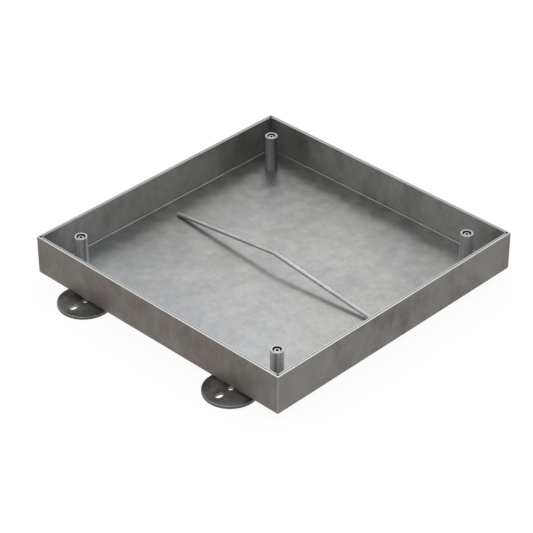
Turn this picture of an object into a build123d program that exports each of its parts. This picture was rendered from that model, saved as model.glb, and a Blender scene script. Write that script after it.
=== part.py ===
# Recessed paving cover: a folded steel tray for paving infill, seated in a welded angle frame on four feet.
# Millimetres, +Z up, origin on the ground at the middle of the cover. Front is -Y, right is +X.

from math import atan2, cos, sqrt
import os

from build123d import *

os.makedirs("parts", exist_ok=True)

# Frame of folded angle
cover_size = 600.0
frame_height = 77.5
ledge_width = 46.0
frame_sheet = 3.0
frame_fold = 1.0
mitre_radius = 1.6
trim_run = 4.0
trim_rise = 7.0
edge_break = 0.4

# Folded tray
tray_sheet = 3.0
tray_gap = 1.0
tray_fold = 2.5
seam_opening = 0.6

# Corner tubes and the bushes at their feet, sized from the levelling screws inside them
tube_wall = 4.0
bush_wall = 1.8
bush_height = 15.0
bush_clearance = 0.1
tube_break = 0.5

# Levelling screws
screw_diameter = 12.0
thread_clearance = 0.1
screw_recess = 2.2
screw_break = 1.0
tip_cone = 3.0
socket_flats = 6.0
socket_depth = 8.0
floor_hole_clearance = 0.6
screw_to_ledge = 4.0

# Corner plates under the ledge
plate_thickness = 5.0
plate_lap = 10.0
plate_rim = 20.0
plate_cut = 18.0

# Anchor rod
rod_diameter = 8.0
rod_end_gap = 43.0
rod_rise = 28.5
rod_bend = 20.0
rod_end_flat = 0.5

# Feet
foot_diameter = 100.0
foot_thickness = 6.0
foot_lift = 9.0
foot_edge_radius = 0.8
centre_hole = 10.5
slot_width = 12.0
slot_length = 18.0
slot_to_foot_edge = 23.5
stud_diameter = 10.0
stud_to_foot_edge = 22.0
stud_fit = 0.1
stud_top_gap = 0.5
stud_break = 0.8
stud_to_ledge_edge = 12.0
nut_flats = 17.0
nut_height = 8.0
nut_chamfer = 1.4
ledge_hole_clearance = 0.5
plate_to_nut = 26.0

# Heights
frame_bottom = foot_thickness + foot_lift
ledge_top = frame_bottom + frame_sheet
floor_top = ledge_top + tray_sheet
rim_top = frame_bottom + frame_height

# Plan sizes, measured from the middle
frame_half = cover_size / 2
tray_half = frame_half - frame_sheet - tray_gap
recess_half = tray_half - tray_sheet
ledge_half = frame_half - ledge_width
screw_radius = screw_diameter / 2
tube_bore = screw_radius + thread_clearance + bush_wall + bush_clearance
tube_half = ledge_half - screw_to_ledge - screw_radius
stud_y = ledge_half + stud_to_ledge_edge
stud_offset = foot_diameter / 2 - stud_to_foot_edge
slot_offset = foot_diameter / 2 - slot_to_foot_edge
foot_y = stud_y + stud_offset
plate_outer = ledge_half + plate_lap
plate_inner = tube_half - screw_radius - plate_rim
nut_corner = nut_flats / sqrt(3)
foot_x = plate_inner - plate_to_nut - nut_flats / 2

# Sides and corners in turning order, each a quarter turn on from the one before
sides = ["front", "right", "back", "left"]
footed_sides = ["front", "back"]
corners = [("front_right", 1, -1), ("back_right", 1, 1), ("back_left", -1, 1), ("front_left", -1, -1)]
quarter_turn = 90


def save(piece, name):
    piece.part.label = name
    export_step(piece.part, f"parts/{name}.step")


# Outline of the welded frame, with its upright corners rounded and its lowest points ground off
with BuildPart() as frame_outline:
    with BuildSketch(Plane.XY.offset(frame_bottom)):
        RectangleRounded(cover_size, cover_size, mitre_radius)
    extrude(amount=frame_height)
    for corner, x_side, y_side in corners:
        ground_face = Plane(
            origin=(x_side * frame_half, y_side * frame_half, frame_bottom + trim_rise),
            z_dir=(x_side / trim_run, y_side / trim_run, -1 / trim_rise),
        )
        split(bisect_by=ground_face, keep=Keep.BOTTOM)

# Front angle: wall and ledge folded from one sheet, mitred at both ends, with two holes for the studs
with BuildPart() as front_angle:
    with BuildSketch(Plane.YZ) as angle_section:
        with BuildLine():
            Polyline(
                (-frame_half, rim_top),
                (-frame_half, frame_bottom),
                (-ledge_half, frame_bottom),
                (-ledge_half, ledge_top),
                (-frame_half + frame_sheet, ledge_top),
                (-frame_half + frame_sheet, rim_top),
                close=True,
            )
        make_face()
        fillet(angle_section.vertices().sort_by_distance((-frame_half, frame_bottom))[0], frame_fold + frame_sheet)
        fillet(angle_section.vertices().sort_by_distance((-frame_half + frame_sheet, ledge_top))[0], frame_fold)
        fillet(angle_section.vertices().group_by(Axis.Y)[-1], edge_break)
    extrude(amount=frame_half, both=True)
    split(bisect_by=Plane(origin=(0, 0, 0), z_dir=(1, 1, 0)), keep=Keep.BOTTOM)
    split(bisect_by=Plane(origin=(0, 0, 0), z_dir=(-1, 1, 0)), keep=Keep.BOTTOM)
    add(frame_outline.part, mode=Mode.INTERSECT)

for turn, side in enumerate(sides):
    with BuildPart() as frame_side:
        add(front_angle.part, rotation=(0, 0, quarter_turn * turn))
        if side in footed_sides:
            with BuildSketch(Plane.XY.offset(frame_bottom)):
                with GridLocations(2 * foot_x, 2 * stud_y, 2, 2):
                    Circle(stud_diameter / 2 + ledge_hole_clearance)
            extrude(amount=frame_sheet, mode=Mode.SUBTRACT)
    save(frame_side, f"frame_{side}")

# Corner plate: laps under two ledges, with its inner corner cut off
with BuildPart() as plate_blank:
    with BuildSketch(Plane.XY.offset(frame_bottom)):
        with BuildLine():
            Polyline(
                (plate_outer, -plate_outer),
                (plate_outer, -plate_inner),
                (plate_inner + plate_cut, -plate_inner),
                (plate_inner, -plate_inner - plate_cut),
                (plate_inner, -plate_outer),
                close=True,
            )
        make_face()
    extrude(amount=-plate_thickness)

for turn, (corner, x_side, y_side) in enumerate(corners):
    with BuildPart() as corner_plate:
        add(plate_blank.part, rotation=(0, 0, quarter_turn * turn))
    save(corner_plate, f"corner_plate_{corner}")

# Tray: one sheet folded up on four sides, its walls meeting in open seams at the corners
with BuildPart() as tray_pan:
    with BuildSketch(Plane.XY.offset(ledge_top)):
        Rectangle(2 * tray_half, 2 * tray_half)
    extrude(amount=rim_top - ledge_top)
    fillet(tray_pan.faces().sort_by(Axis.Z)[0].edges(), tray_fold + tray_sheet)
    with BuildSketch(Plane.XY.offset(floor_top)):
        Rectangle(2 * recess_half, 2 * recess_half)
    extrude(amount=rim_top - floor_top, mode=Mode.SUBTRACT)
    floor_face = tray_pan.faces().filter_by(Axis.Z).sort_by_distance((0, 0, floor_top))[0]
    fillet(floor_face.edges(), tray_fold)
    notch = tray_sheet + seam_opening
    with BuildSketch(Plane.XY.offset(ledge_top)):
        with GridLocations(2 * tray_half - notch, 2 * tray_half - notch, 2, 2):
            Rectangle(notch, notch)
    extrude(amount=rim_top - ledge_top, mode=Mode.SUBTRACT)
    with BuildSketch(Plane.XY.offset(ledge_top)):
        with GridLocations(2 * tube_half, 2 * tube_half, 2, 2):
            Circle(screw_radius + floor_hole_clearance)
    extrude(amount=tray_sheet, mode=Mode.SUBTRACT)
    fillet(tray_pan.edges().group_by(Axis.Z)[-1].filter_by(GeomType.LINE), edge_break)
save(tray_pan, "tray_pan")

# Upright tube, threaded bush and levelling screw of the front right corner
tube_foot = Plane((tube_half, -tube_half, floor_top))
screw_seat = Plane((tube_half, -tube_half, frame_bottom))
screw_length = rim_top - screw_recess - frame_bottom

with BuildPart() as tube_blank:
    with BuildSketch(tube_foot):
        Circle(tube_bore + tube_wall)
        Circle(tube_bore, mode=Mode.SUBTRACT)
    extrude(amount=rim_top - floor_top)
    chamfer(tube_blank.faces().sort_by(Axis.Z)[-1].edges(), tube_break)

with BuildPart() as bush_blank:
    with BuildSketch(tube_foot):
        Circle(tube_bore - bush_clearance)
        Circle(screw_radius + thread_clearance, mode=Mode.SUBTRACT)
    extrude(amount=bush_height)

with BuildPart() as screw_blank:
    with BuildSketch(screw_seat):
        Circle(screw_radius)
    extrude(amount=screw_length)
    chamfer(screw_blank.faces().sort_by(Axis.Z)[-1].edges(), screw_break)
    chamfer(screw_blank.faces().sort_by(Axis.Z)[0].edges(), tip_cone)
    with BuildSketch(screw_seat.offset(screw_length)):
        RegularPolygon(socket_flats / 2, 6, major_radius=False)
    extrude(amount=-socket_depth, mode=Mode.SUBTRACT)

for turn, (corner, x_side, y_side) in enumerate(corners):
    spin = (0, 0, quarter_turn * turn)
    with BuildPart() as corner_tube:
        add(tube_blank.part, rotation=spin)
    save(corner_tube, f"corner_tube_{corner}")
    with BuildPart() as thread_bush:
        add(bush_blank.part, rotation=spin)
    save(thread_bush, f"thread_bush_{corner}")
    with BuildPart() as level_screw:
        add(screw_blank.part, rotation=spin)
    save(level_screw, f"level_screw_{corner}")

# Anchor rod: one round bar bent at the middle, its two ends ground flat on the tray's floor
rod_radius = rod_diameter / 2
rod_half = recess_half - rod_end_gap
rod_slope = atan2(rod_rise, rod_half)
rod_end_height = floor_top + rod_radius * cos(rod_slope) - rod_end_flat
with BuildPart() as anchor_rod:
    with BuildLine(Plane.XZ) as rod_path:
        FilletPolyline(
            (-rod_half, rod_end_height),
            (0, rod_end_height + rod_rise),
            (rod_half, rod_end_height),
            radius=rod_bend,
        )
    with BuildSketch(Plane(origin=rod_path.line @ 0, z_dir=rod_path.line % 0)):
        Circle(rod_radius)
    sweep(path=rod_path.line)
    split(bisect_by=Plane.XY.offset(floor_top), keep=Keep.TOP)
save(anchor_rod, "anchor_rod")

# Feet: each disc hangs on a stud that turns in a nut under the ledge, with its slot outside the frame
for corner, x_side, y_side in corners:
    disc_plane = Plane((x_side * foot_x, y_side * foot_y, 0), x_dir=(-y_side, 0, 0))
    stud_plane = Plane((x_side * foot_x, y_side * stud_y, 0))

    with BuildPart() as foot_disc:
        with BuildSketch(disc_plane):
            Circle(foot_diameter / 2)
            Circle(centre_hole / 2, mode=Mode.SUBTRACT)
            with Locations((0, -slot_offset)):
                SlotOverall(slot_length, slot_width, rotation=90, mode=Mode.SUBTRACT)
            with Locations((0, stud_offset)):
                Circle(stud_diameter / 2 + stud_fit, mode=Mode.SUBTRACT)
        extrude(amount=foot_thickness)
        rims = foot_disc.edges().filter_by(GeomType.CIRCLE).group_by(SortBy.RADIUS)[-1]
        fillet(rims, foot_edge_radius)
    save(foot_disc, f"foot_disc_{corner}")

    with BuildPart() as foot_stud:
        with BuildSketch(stud_plane):
            Circle(stud_diameter / 2)
        extrude(amount=ledge_top - stud_top_gap)
        chamfer(foot_stud.faces().sort_by(Axis.Z)[-1].edges(), stud_break)
    save(foot_stud, f"foot_stud_{corner}")

    with BuildPart() as foot_nut:
        with BuildSketch(stud_plane.offset(frame_bottom)):
            Circle(nut_corner)
        extrude(amount=-nut_height)
        chamfer(foot_nut.faces().sort_by(Axis.Z)[0].edges(), nut_chamfer)
        with BuildSketch(stud_plane.offset(frame_bottom)):
            RegularPolygon(nut_flats / 2, 6, major_radius=False)
            Circle(stud_diameter / 2 + stud_fit, mode=Mode.SUBTRACT)
        extrude(amount=-nut_height, mode=Mode.INTERSECT)
    save(foot_nut, f"foot_nut_{corner}")
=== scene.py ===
import math

import bpy
from mathutils import Matrix, Vector


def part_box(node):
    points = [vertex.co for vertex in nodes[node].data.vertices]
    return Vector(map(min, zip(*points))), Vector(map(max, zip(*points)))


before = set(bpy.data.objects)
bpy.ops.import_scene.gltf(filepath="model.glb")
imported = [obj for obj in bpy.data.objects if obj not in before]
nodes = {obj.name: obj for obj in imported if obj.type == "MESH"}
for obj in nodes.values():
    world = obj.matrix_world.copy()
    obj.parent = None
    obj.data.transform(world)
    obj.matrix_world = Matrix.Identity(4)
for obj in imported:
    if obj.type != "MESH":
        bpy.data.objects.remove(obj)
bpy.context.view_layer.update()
print("frame loaded:", len(nodes), "nodes")

corners = ("front_right", "back_right", "back_left", "front_left")


def middleOf(name):
    # how far a corner piece's axis is from the cover's middle, along X and along Y
    low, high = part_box(name)
    return (abs(low[0] + high[0]) / 2, abs(low[1] + high[1]) / 2)


def topOf(name):
    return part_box(name)[1][2]


rimTop = topOf("tray_pan")
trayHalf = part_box("tray_pan")[1][0]
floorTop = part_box("corner_tube_front_right")[0][2]
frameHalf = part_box("frame_right")[1][0]
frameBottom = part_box("frame_front")[0][2]

# Spans are in metres, from where a tone begins to where it is whole.
cutSpan = (-0.0006, -0.0002)  # from a rim or a tube's top, for its bare cut face
backLeftSpan = (0.0, 0.5)  # of Y less X, for the painted shade that grows towards the back left corner


def paint(red, green, blue):
    # screen values from 0 to 255, turned into the linear colour that Blender wants
    def linear(level):
        level = level / 255
        return level / 12.92 if level <= 0.04045 else ((level + 0.055) / 1.055) ** 2.4
    return (linear(red), linear(green), linear(blue), 1.0)


class Wire:
    # one output socket; arithmetic on it adds Math nodes
    def __init__(self, finish, socket):
        self.finish = finish
        self.socket = socket

    def __add__(self, other):
        return self.finish.maths("ADD", self, other)

    def __radd__(self, other):
        return self.finish.maths("ADD", other, self)

    def __sub__(self, other):
        return self.finish.maths("SUBTRACT", self, other)

    def __rsub__(self, other):
        return self.finish.maths("SUBTRACT", other, self)

    def __mul__(self, other):
        return self.finish.maths("MULTIPLY", self, other)

    def __rmul__(self, other):
        return self.finish.maths("MULTIPLY", other, self)


class Finish:
    # the nodes of one material, or of the world
    def __init__(self, owner):
        self.owner = owner
        owner.use_nodes = True
        self.tree = owner.node_tree
        self.tree.nodes.clear()

    def node(self, kind, settings=None, sockets=None, out=0):
        made = self.tree.nodes.new(kind)
        for name, value in (settings or {}).items():
            setattr(made, name, value)
        for name, value in (sockets or {}).items():
            if isinstance(value, Wire):
                self.tree.links.new(value.socket, made.inputs[name])
            else:
                made.inputs[name].default_value = value
        return Wire(self, made.outputs[out]) if made.outputs else made

    def maths(self, operation, first, second=0.0):
        return self.node("ShaderNodeMath", {"operation": operation}, {0: first, 1: second})

    def place(self):
        return self.node("ShaderNodeTexCoord", out="Object")

    def axis(self, name):
        return self.node("ShaderNodeSeparateXYZ", None, {"Vector": self.place()}, out=name)

    def side(self, name):
        # distance from the cover's middle plane, the same on both sides
        return self.maths("ABSOLUTE", self.axis(name))

    def radius(self, middle):
        # distance from the upright axes at middle, mirrored into the four corners
        outX = self.side("X") - middle[0]
        outY = self.side("Y") - middle[1]
        return self.maths("SQRT", outX * outX + outY * outY)

    def ramp(self, value, start, end):
        # 0 at start, 1 at end, eased
        sockets = {"Value": value, "From Min": start, "From Max": end}
        return self.node("ShaderNodeMapRange", {"interpolation_type": "SMOOTHSTEP"}, sockets)

    def span(self, value, base, ends):
        # the same, with both ends measured from base
        return self.ramp(value, base + ends[0], base + ends[1])

    def cloud(self, scale, detail=4.0, rough=0.6, shift=(0, 0, 0), warp=0.0):
        sockets = {"Vector": self.place(), "Location": shift, "Scale": scale}
        moved = self.node("ShaderNodeMapping", None, sockets)
        sockets = {"Vector": moved, "Scale": 1.0, "Detail": detail, "Roughness": rough}
        sockets["Distortion"] = warp
        return self.node("ShaderNodeTexNoise", None, sockets)

    def patches(self, ends, **cloud):
        # a cloud turned into patches: none where it is under the first end, whole over the second
        return self.ramp(self.cloud(**cloud), *ends)

    def blend(self, factor, first, second):
        settings = {"data_type": "RGBA", "blend_type": "MIX"}
        return self.node("ShaderNodeMix", settings, {0: factor, 6: first, 7: second}, out=2)

    def uneven(self, level, cloud, spread):
        # level, with spread between its lowest and highest value
        return level + (cloud - 0.5) * spread

    def mixed(self, first, second, share):
        return first * share + second * (1 - share)

    def close(self, colour, rough, height, look):
        sockets = {"Height": height, "Strength": look["bumpStrength"], "Distance": look["bumpDepth"]}
        normal = self.node("ShaderNodeBump", None, sockets)
        sockets = {"Base Color": colour, "Roughness": rough, "Metallic": look["metallic"]}
        sockets["Normal"] = normal
        sockets.update(look.get("coat", {}))
        shader = self.node("ShaderNodeBsdfPrincipled", None, sockets)
        self.node("ShaderNodeOutputMaterial", None, {"Surface": shader})
        return self.owner


def newFinish(name):
    return Finish(bpy.data.materials.new(name))


def dress(names, material):
    for name in names:
        for slot in nodes[name].material_slots:
            slot.material = material
        if not nodes[name].material_slots:
            nodes[name].data.materials.append(material)


def backLeftShade(steel, share):
    # painted shade: 0 from the middle to the front right corner, share at the back left one
    return steel.ramp(steel.axis("Y") - steel.axis("X"), *backLeftSpan) * share


trayLook = {
    "shade": paint(138, 138, 137),
    "light": paint(159, 158, 155),
    "cool": paint(144, 148, 156),
    "coolShare": 0.4,
    "frontCoolShare": 0.32,
    "frontCoolSpan": (0.0, -0.24),  # along Y
    # painted light: the walls are paler than the floor of the same sheet, standing in for light on them
    "wall": paint(202, 202, 199),
    "wallShare": 0.8,
    "wallSpan": (0.002, 0.006),  # up from the floor
    "floorSpan": (0.003, 0.001),  # down to the floor
    # painted shade towards the back left and along the walls' feet, and also the colour of random
    # tarnished patches and mottle
    "shadeAndTarnish": paint(98, 98, 96),
    "backLeftShadeShare": 0.45,
    "shadeOnWalls": 0.1,
    "shadeOnLeftWall": 0.55,  # painted shade on the tray's left side, on top of what all walls have
    "leftWallSpan": (0.026, 0.006),  # in from the tray's left face
    # painted shade on the floor along the walls' feet
    "footShadeShare": 0.4,
    "footSpanX": (-0.096, -0.021),  # in from the tray's outer faces
    "footSpanY": (-0.086, -0.016),
    "wallPatchShare": 0.3,
    "mottleShare": 0.16,
    "rubbed": paint(188, 188, 186),
    "rubbedShare": 0.2,
    # painted highlight along the folds between the floor and the walls
    "foldHighlight": paint(205, 205, 202),
    "foldHighlightShare": 0.2,
    "foldStart": (0.0001, 0.0006),  # up from the floor
    "foldEnd": (0.003, 0.0018),
    "cutFace": paint(164, 164, 163),
    "metallic": 0.96,
    "roughness": 0.39,
    "broadRough": 0.06,
    "fineRough": 0.08,
    "bumpStrength": 0.25,
    "bumpDepth": 0.0004,
    "bumpMix": 0.6,
}


def traySteel(look):
    steel = newFinish("traySteel")
    height = steel.axis("Z")
    broad = steel.patches((0.35, 0.68), scale=(7, 7, 7), detail=3, warp=0.4)
    cool = steel.patches((0.45, 0.7), scale=(5, 5, 5), detail=3, shift=(3, 1, 0))
    fine = steel.cloud(scale=(38, 38, 38), detail=5, rough=0.65)
    streak = steel.cloud(scale=(9, 170, 170), detail=3, shift=(0, 2, 0))
    colour = steel.blend(broad, look["shade"], look["light"])

    # the sheet is bluer along the front
    bluer = steel.ramp(steel.axis("Y"), *look["frontCoolSpan"])
    colour = steel.blend(cool * look["coolShare"] + bluer * look["frontCoolShare"], colour, look["cool"])
    # painted light: the walls are made paler than the floor
    walls = steel.span(height, floorTop, look["wallSpan"])
    colour = steel.blend(walls * look["wallShare"], colour, look["wall"])

    # painted shade: the floor is darkened towards the back left corner and along the walls' feet, and the
    # walls a little, the left side most
    shadeBackLeft = backLeftShade(steel, look["backLeftShadeShare"])
    onFloor = steel.span(height, floorTop, look["floorSpan"])
    leftWall = steel.span(steel.axis("X"), -trayHalf, look["leftWallSpan"])
    shadeHere = steel.maths("MAXIMUM", onFloor, look["shadeOnWalls"] + leftWall * look["shadeOnLeftWall"])
    colour = steel.blend(shadeBackLeft * shadeHere, colour, look["shadeAndTarnish"])
    # painted shade on the floor along the walls' feet
    footShadeX = steel.span(steel.side("X"), trayHalf, look["footSpanX"])
    footShadeY = steel.span(steel.side("Y"), trayHalf, look["footSpanY"])
    footShade = steel.maths("MAXIMUM", footShadeX, footShadeY)
    colour = steel.blend(footShade * onFloor * look["footShadeShare"], colour, look["shadeAndTarnish"])
    wallPatches = steel.patches((0.42, 0.64), scale=(20, 20, 12), shift=(1, 3, 4))
    colour = steel.blend(wallPatches * (1 - onFloor) * look["wallPatchShare"], colour, look["shadeAndTarnish"])

    colour = steel.blend(steel.ramp(fine, 0.38, 0.68) * look["rubbedShare"], colour, look["rubbed"])
    mottle = steel.patches((0.4, 0.65), scale=(75, 75, 75), detail=5, rough=0.7, shift=(4, 0, 2))
    colour = steel.blend(mottle * look["mottleShare"], colour, look["shadeAndTarnish"])
    # painted highlight along the folds between the floor and the walls
    foldHighlightMask = steel.span(height, floorTop, look["foldStart"]) * steel.span(height, floorTop, look["foldEnd"])
    colour = steel.blend(foldHighlightMask * look["foldHighlightShare"], colour, look["foldHighlight"])
    # the bare cut face, dimmed towards the back left by the painted shade
    cut = steel.span(height, rimTop, cutSpan)
    colour = steel.blend(cut * (1 - shadeBackLeft), colour, look["cutFace"])

    rough = steel.uneven(look["roughness"], fine, look["fineRough"]) + broad * look["broadRough"]
    return steel.close(colour, rough, steel.mixed(fine, streak, look["bumpMix"]), look)


dress(["tray_pan"], traySteel(trayLook))
print("tray finished")

frameLook = {
    # for each finish, the sides that have it and its two tones
    "sheets": {
        "frameSteelWarm": (["frame_front", "frame_back"], paint(109, 101, 96), paint(118, 113, 107)),
        "frameSteelCool": (["frame_right", "frame_left"], paint(101, 94, 90), paint(126, 124, 119)),
    },
    "plum": paint(119, 109, 111),
    "plumShare": 0.45,
    "pale": paint(136, 133, 128),
    "paleShare": 0.6,
    "streakShare": 0.22,
    # painted shade along the frame's bottom
    "underShade": paint(84, 80, 77),
    "underShadeShare": 0.5,
    "underSpan": (0.004, 0.001),  # down to the frame's bottom
    # painted highlight on the frame's corner edges
    "cornerHighlight": paint(150, 148, 143),
    "cornerHighlightSpan": (-0.0021, -0.0011),  # in from the frame's outer faces
    "cutFace": paint(206, 206, 204),
    # painted shade that dims the frame's cut faces towards the back left
    "backLeftShadeShare": 0.35,
    "metallic": 0.7,
    "roughness": 0.48,
    "fineRough": 0.1,
    "bumpStrength": 0.25,
    "bumpDepth": 0.0004,
    "bumpMix": 0.7,
}


def frameSteel(name, brown, green, look):
    steel = newFinish(name)
    height = steel.axis("Z")
    broad = steel.patches((0.36, 0.64), scale=(8, 8, 7), shift=(1, 4, 2), warp=0.6)
    plum = steel.patches((0.5, 0.7), scale=(14, 14, 11), detail=3, shift=(7, 3, 5), warp=0.4)
    pale = steel.patches((0.4, 0.7), scale=(30, 30, 22), detail=5, rough=0.7, shift=(5, 2, 1))
    fine = steel.cloud(scale=(60, 60, 40), detail=5, rough=0.65)
    streak = steel.cloud(scale=(130, 130, 6), detail=3, shift=(2, 0, 0))
    colour = steel.blend(broad, brown, green)
    colour = steel.blend(plum * look["plumShare"], colour, look["plum"])
    colour = steel.blend(pale * look["paleShare"], colour, look["pale"])
    colour = steel.blend(steel.ramp(streak, 0.5, 0.8) * look["streakShare"], colour, look["pale"])
    # painted shade along the frame's bottom
    under = steel.span(height, frameBottom, look["underSpan"])
    colour = steel.blend(under * look["underShadeShare"], colour, look["underShade"])

    # painted highlight: a broken bright line along the frame's outer corner edges, where the welds are
    # ground flush
    cornerHighlightX = steel.span(steel.side("X"), frameHalf, look["cornerHighlightSpan"])
    cornerHighlightY = steel.span(steel.side("Y"), frameHalf, look["cornerHighlightSpan"])
    colour = steel.blend(cornerHighlightX * cornerHighlightY * steel.ramp(fine, 0.2, 0.5), colour, look["cornerHighlight"])
    # the bare cut face, dimmed towards the back left by the painted shade
    cut = steel.span(height, rimTop, cutSpan)
    colour = steel.blend(cut * (1 - backLeftShade(steel, look["backLeftShadeShare"])), colour, look["cutFace"])

    rough = steel.uneven(look["roughness"], fine, look["fineRough"])
    return steel.close(colour, rough, steel.mixed(fine, streak, look["bumpMix"]), look)


for name, (sides, brown, green) in frameLook["sheets"].items():
    dress(sides, frameSteel(name, brown, green, frameLook))
print("frame finished")

tubeLook = {
    # painted light and shade: a grey for each tube, paler for the lit ones and darker for the shaded
    # ones, and how far its dark and pale streaks are from it
    "tones": {"front_right": 240, "back_right": 180, "back_left": 148, "front_left": 208},
    "darker": (-76, -74, -70),
    "paler": (12, 13, 15),
    "top": paint(174, 174, 173),
    # painted shade inside the tube
    "boreShade": paint(38, 38, 40),
    "boreRadius": 0.0084,
    "boreSpan": (0.0, -0.0003),
    "metallic": 0.6,
    "roughness": 0.3,
    "fineRough": 0.02,
    "topRough": 0.25,
    "coat": {"Coat Weight": 0.5, "Coat Roughness": 0.15},
    "bumpStrength": 0.02,
    "bumpDepth": 0.0002,
    "bumpMix": 0.6,
}


def tubeSteel(corner, tone, look):
    steel = newFinish("tubeSteel_" + corner)
    tube = "corner_tube_" + corner
    streak = steel.cloud(scale=(85, 85, 2), detail=1, rough=0.5, shift=(6, 5, 0))
    fine = steel.cloud(scale=(160, 160, 160))
    dark = paint(*(tone + step for step in look["darker"]))
    pale = paint(*(tone + step for step in look["paler"]))
    colour = steel.blend(steel.ramp(streak, 0.36, 0.6), dark, pale)
    # painted shade inside the tube
    inside = steel.span(steel.radius(middleOf(tube)), look["boreRadius"], look["boreSpan"])
    colour = steel.blend(inside, colour, look["boreShade"])
    onTop = steel.span(steel.axis("Z"), topOf(tube), cutSpan)
    colour = steel.blend(onTop, colour, look["top"])
    rough = steel.uneven(look["roughness"], fine, look["fineRough"]) + onTop * look["topRough"]
    return steel.close(colour, rough, steel.mixed(streak, fine, look["bumpMix"]), look)


# painted light and shade: each tube gets its own grey
for corner, tone in tubeLook["tones"].items():
    dress(["corner_tube_" + corner], tubeSteel(corner, tone, tubeLook))
print("tubes finished")

screwLook = {
    "dark": paint(128, 128, 128),
    "pale": paint(160, 160, 159),
    "head": paint(192, 192, 190),
    "headSpan": (-0.0013, -0.0005),  # from the screw's top
    # painted shade: the hex socket is painted near black
    "socket": paint(8, 8, 9),
    "socketRadius": 0.0037,
    "socketSpan": (0.0, -0.0002),
    "socketDepthSpan": (-0.0001, -0.0003),
    "metallic": 0.85,
    "roughness": 0.45,
    "fineRough": 0.1,
    "bumpStrength": 0.2,
    "bumpDepth": 0.0002,
}


def screwSteel(look):
    steel = newFinish("screwSteel")
    screw = "level_screw_front_right"
    top = topOf(screw)
    height = steel.axis("Z")
    broad = steel.patches((0.35, 0.7), scale=(90, 90, 90))
    fine = steel.cloud(scale=(300, 300, 300))
    colour = steel.blend(broad, look["dark"], look["pale"])
    colour = steel.blend(steel.span(height, top, look["headSpan"]), colour, look["head"])
    # painted shade: the hex socket is painted near black
    inside = steel.span(steel.radius(middleOf(screw)), look["socketRadius"], look["socketSpan"])
    below = steel.span(height, top, look["socketDepthSpan"])
    colour = steel.blend(inside * below, colour, look["socket"])
    rough = steel.uneven(look["roughness"], fine, look["fineRough"])
    return steel.close(colour, rough, fine, look)


dress(["level_screw_" + corner for corner in corners], screwSteel(screwLook))
print("screws finished")

plainLooks = {
    "rodSteel": {
        "parts": ["anchor_rod"],
        "dark": paint(176, 177, 179),
        "pale": paint(204, 204, 203),
        "streak": (7, 180, 180),
        "metallic": 0.85,
        "roughness": 0.3,
        "bumpStrength": 0.004,
        "bumpDepth": 0.0003,
    },
    "bushSteel": {
        "parts": ["thread_bush_" + corner for corner in corners],
        "dark": paint(100, 100, 101),
        "pale": paint(130, 130, 130),
        "streak": (60, 60, 300),
        "metallic": 0.85,
        "roughness": 0.4,
        "bumpStrength": 0.2,
        "bumpDepth": 0.0002,
    },
    "plateSteel": {
        "parts": ["corner_plate_" + corner for corner in corners],
        "dark": paint(88, 86, 85),
        "pale": paint(118, 115, 112),
        "streak": (30, 160, 30),
        "metallic": 0.7,
        "roughness": 0.5,
        "bumpStrength": 0.3,
        "bumpDepth": 0.0004,
    },
    "studSteel": {
        "parts": [f"foot_{kind}_{corner}" for kind in ("stud", "nut") for corner in corners],
        "dark": paint(92, 92, 92),
        "pale": paint(128, 127, 125),
        "streak": (70, 70, 500),
        "metallic": 0.8,
        "roughness": 0.45,
        "bumpStrength": 0.3,
        "bumpDepth": 0.0002,
    },
}
plainStreakShare = 0.4
plainFineRough = 0.12
plainBumpMix = 0.6


def plainSteel(name, look):
    steel = newFinish(name)
    broad = steel.patches((0.35, 0.7), scale=(24, 24, 24), shift=(2, 3, 1))
    streak = steel.cloud(scale=look["streak"], detail=3)
    fine = steel.cloud(scale=(160, 160, 160))
    colour = steel.blend(broad, look["dark"], look["pale"])
    colour = steel.blend(steel.ramp(streak, 0.45, 0.8) * plainStreakShare, colour, look["pale"])
    rough = steel.uneven(look["roughness"], fine, plainFineRough)
    return steel.close(colour, rough, steel.mixed(streak, fine, plainBumpMix), look)


for name, look in plainLooks.items():
    dress(look["parts"], plainSteel(name, look))
print("rod, bushes, plates, studs and nuts finished")

footLook = {
    "dark": paint(102, 101, 99),
    "pale": paint(150, 148, 145),
    # painted shade on the disc's side
    "side": paint(92, 91, 89),
    "sideSpan": (-0.0004, -0.0001),  # from the disc's outer radius
    # painted highlight on the disc's rounded top rim
    "edgeHighlight": paint(168, 166, 163),
    "edgeSpan": (-0.001, -0.0006),  # from the disc's outer radius
    "edgeTopSpan": (-0.001, -0.0005),  # from the disc's top
    "metallic": 0.7,
    "roughness": 0.45,
    "fineRough": 0.1,
    "bumpStrength": 0.3,
    "bumpDepth": 0.0003,
}


def footSteel(look):
    steel = newFinish("footSteel")
    disc = "foot_disc_front_right"
    low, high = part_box(disc)
    discRadius = (high[0] - low[0]) / 2
    broad = steel.patches((0.35, 0.65), scale=(26, 26, 26), shift=(2, 1, 0))
    fine = steel.cloud(scale=(90, 90, 90), detail=5, rough=0.65)
    out = steel.radius(middleOf(disc))
    colour = steel.blend(broad, look["dark"], look["pale"])
    # painted shade on the disc's side
    colour = steel.blend(steel.span(out, discRadius, look["sideSpan"]), colour, look["side"])
    # painted highlight on the disc's rounded top rim
    edgeHighlight = steel.span(out, discRadius, look["edgeSpan"])
    edgeHighlight = edgeHighlight * steel.span(steel.axis("Z"), high[2], look["edgeTopSpan"])
    colour = steel.blend(edgeHighlight * steel.ramp(fine, 0.3, 0.6), colour, look["edgeHighlight"])
    rough = steel.uneven(look["roughness"], fine, look["fineRough"])
    return steel.close(colour, rough, fine, look)


dress(["foot_disc_" + corner for corner in corners], footSteel(footLook))
print("feet finished")

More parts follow.
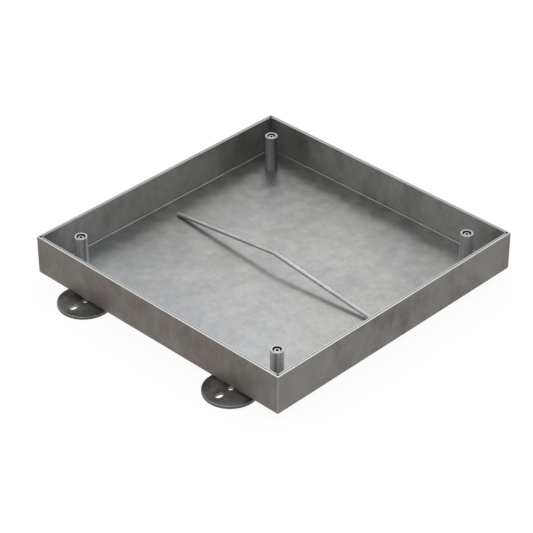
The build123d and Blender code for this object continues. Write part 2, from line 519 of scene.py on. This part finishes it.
roomLook = {
    "floorSize": 12.0,
    "floorGlow": 0.93,
    "floorShare": 0.1,
    "floorWhite": 0.8,
    "white": (1, 1, 1, 1),
    "ambient": 0.8,
    "keyDirection": (-0.454, 0.498, 0.740),
    "keyDistance": 3.0,
    "keySize": 0.8,
    "keyPower": 8.5,
    "cameraTarget": (0.06129, -0.08212, rimTop),
    "cameraTurn": 44.3934,
    "cameraRise": 34.2063,
    "cameraRoll": -0.1486,
    "cameraDistance": 3.8555,
    "cameraLens": 148.81,
}


def whiteFor(finish, shaderSeen, shaderElse):
    # the camera and mirror-like rays see shaderSeen, and all other light comes from shaderElse
    camera = finish.node("ShaderNodeLightPath", out="Is Camera Ray")
    glossy = finish.node("ShaderNodeLightPath", out="Is Glossy Ray")
    through = finish.node("ShaderNodeLightPath", out="Is Transmission Ray")
    seen = finish.maths("MAXIMUM", finish.maths("MAXIMUM", camera, glossy), through)
    return finish.node("ShaderNodeMixShader", None, {0: seen, 1: shaderElse, 2: shaderSeen})


def makeFloor():
    half = roomLook["floorSize"] / 2
    mesh = bpy.data.meshes.new("floor")
    spots = [(-half, -half, 0), (half, -half, 0), (half, half, 0), (-half, half, 0)]
    mesh.from_pydata(spots, [], [(0, 1, 2, 3)])
    floor = bpy.data.objects.new("floor", mesh)
    bpy.context.scene.collection.objects.link(floor)
    finish = newFinish("floorWhite")
    sockets = {"Color": roomLook["white"], "Strength": roomLook["floorGlow"]}
    glow = finish.node("ShaderNodeEmission", None, sockets)
    share = roomLook["floorShare"]
    lit = finish.node("ShaderNodeBsdfDiffuse", None, {"Color": (share, share, share, 1)})
    seen = finish.node("ShaderNodeAddShader", None, {0: glow, 1: lit})
    level = roomLook["floorWhite"]
    plain = finish.node("ShaderNodeBsdfDiffuse", None, {"Color": (level, level, level, 1)})
    finish.node("ShaderNodeOutputMaterial", None, {"Surface": whiteFor(finish, seen, plain)})
    mesh.materials.append(finish.owner)


def makeWorld():
    world = bpy.data.worlds.new("room")
    bpy.context.scene.world = world
    finish = Finish(world)
    sockets = {"Color": roomLook["white"], "Strength": 1.0}
    seen = finish.node("ShaderNodeBackground", None, sockets)
    sockets = {"Color": roomLook["white"], "Strength": roomLook["ambient"]}
    ambient = finish.node("ShaderNodeBackground", None, sockets)
    finish.node("ShaderNodeOutputWorld", None, {"Surface": whiteFor(finish, seen, ambient)})


def makeKey():
    lamp = bpy.data.lights.new("key", "AREA")
    lamp.shape = "DISK"
    lamp.size = roomLook["keySize"]
    lamp.energy = roomLook["keyPower"]
    key = bpy.data.objects.new("key", lamp)
    toward = Vector(roomLook["keyDirection"]).normalized()
    key.location = toward * roomLook["keyDistance"]
    key.rotation_euler = toward.to_track_quat("Z", "Y").to_euler()
    bpy.context.scene.collection.objects.link(key)


def makeCamera():
    turn = math.radians(roomLook["cameraTurn"])
    rise = math.radians(roomLook["cameraRise"])
    roll = math.radians(roomLook["cameraRoll"])
    back = Vector((math.sin(turn) * math.cos(rise), -math.cos(turn) * math.cos(rise), math.sin(rise)))
    right = Vector((math.cos(turn), math.sin(turn), 0))
    up = back.cross(right)
    tiltedRight = right * math.cos(roll) + up * math.sin(roll)
    tiltedUp = up * math.cos(roll) - right * math.sin(roll)
    lens = bpy.data.cameras.new("camera")
    lens.lens = roomLook["cameraLens"]
    camera = bpy.data.objects.new("camera", lens)
    turned = Matrix((tiltedRight, tiltedUp, back)).transposed().to_4x4()
    spot = Vector(roomLook["cameraTarget"]) + back * roomLook["cameraDistance"]
    camera.matrix_world = Matrix.Translation(spot) @ turned
    bpy.context.scene.collection.objects.link(camera)
    bpy.context.scene.camera = camera


makeFloor()
makeWorld()
makeKey()
makeCamera()
bpy.context.scene.view_settings.view_transform = "Standard"
print("room, light and camera ready")
